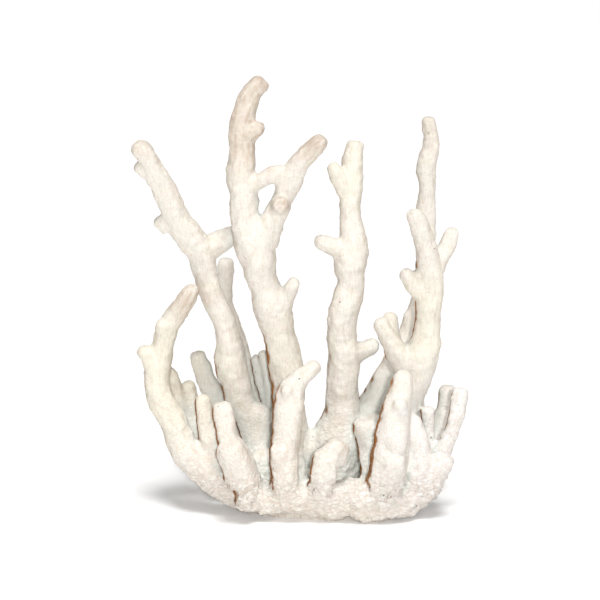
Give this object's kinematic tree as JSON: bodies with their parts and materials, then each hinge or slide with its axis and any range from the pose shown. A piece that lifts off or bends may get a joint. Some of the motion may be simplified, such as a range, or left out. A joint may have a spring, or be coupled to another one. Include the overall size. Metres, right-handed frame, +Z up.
{
  "type": "tube coral",
  "caption": "Dried white branching coral: tall knobbly stems rise from a low clump ringed with short blunt fingers. It is cut off flat below and stands on the cut.",
  "frame": {"origin": "middle of the whole coral on the floor that its flat cut rests on", "axes": "+Z up, the height of the tallest stem; +X to the right of the side that the picture shows; +Y away from that side, so the picture looks along +Y"},
  "size_m": [0.2317, 0.1318, 0.3028],
  "materials": {
    "coral": "dry coral limestone, ivory white with faint pink and yellow mottling, sandy and dull"
  },
  "bodies": {
    "root": {"clump": "coral", "left_stem": "coral", "left_stem_arm": "coral", "tall_stem": "coral", "tall_stem_right_branch": "coral", "centre_stem": "coral", "right_stem": "coral", "right_stem_arm": "coral", "right_stem_low_branch": "coral", "back_right_stem": "coral", "back_left_stem": "coral", "front_finger_1": "coral", "front_finger_2": "coral", "front_finger_3": "coral", "front_finger_4": "coral", "front_finger_5": "coral", "front_finger_6": "coral", "front_finger_7": "coral", "front_finger_8": "coral", "back_finger_1": "coral", "back_finger_2": "coral", "rear_finger_1": "coral", "rear_finger_2": "coral", "rear_finger_3": "coral", "rear_finger_4": "coral", "rear_finger_5": "coral", "rear_finger_6": "coral", "rear_finger_7": "coral"}
  },
  "joints": []
}
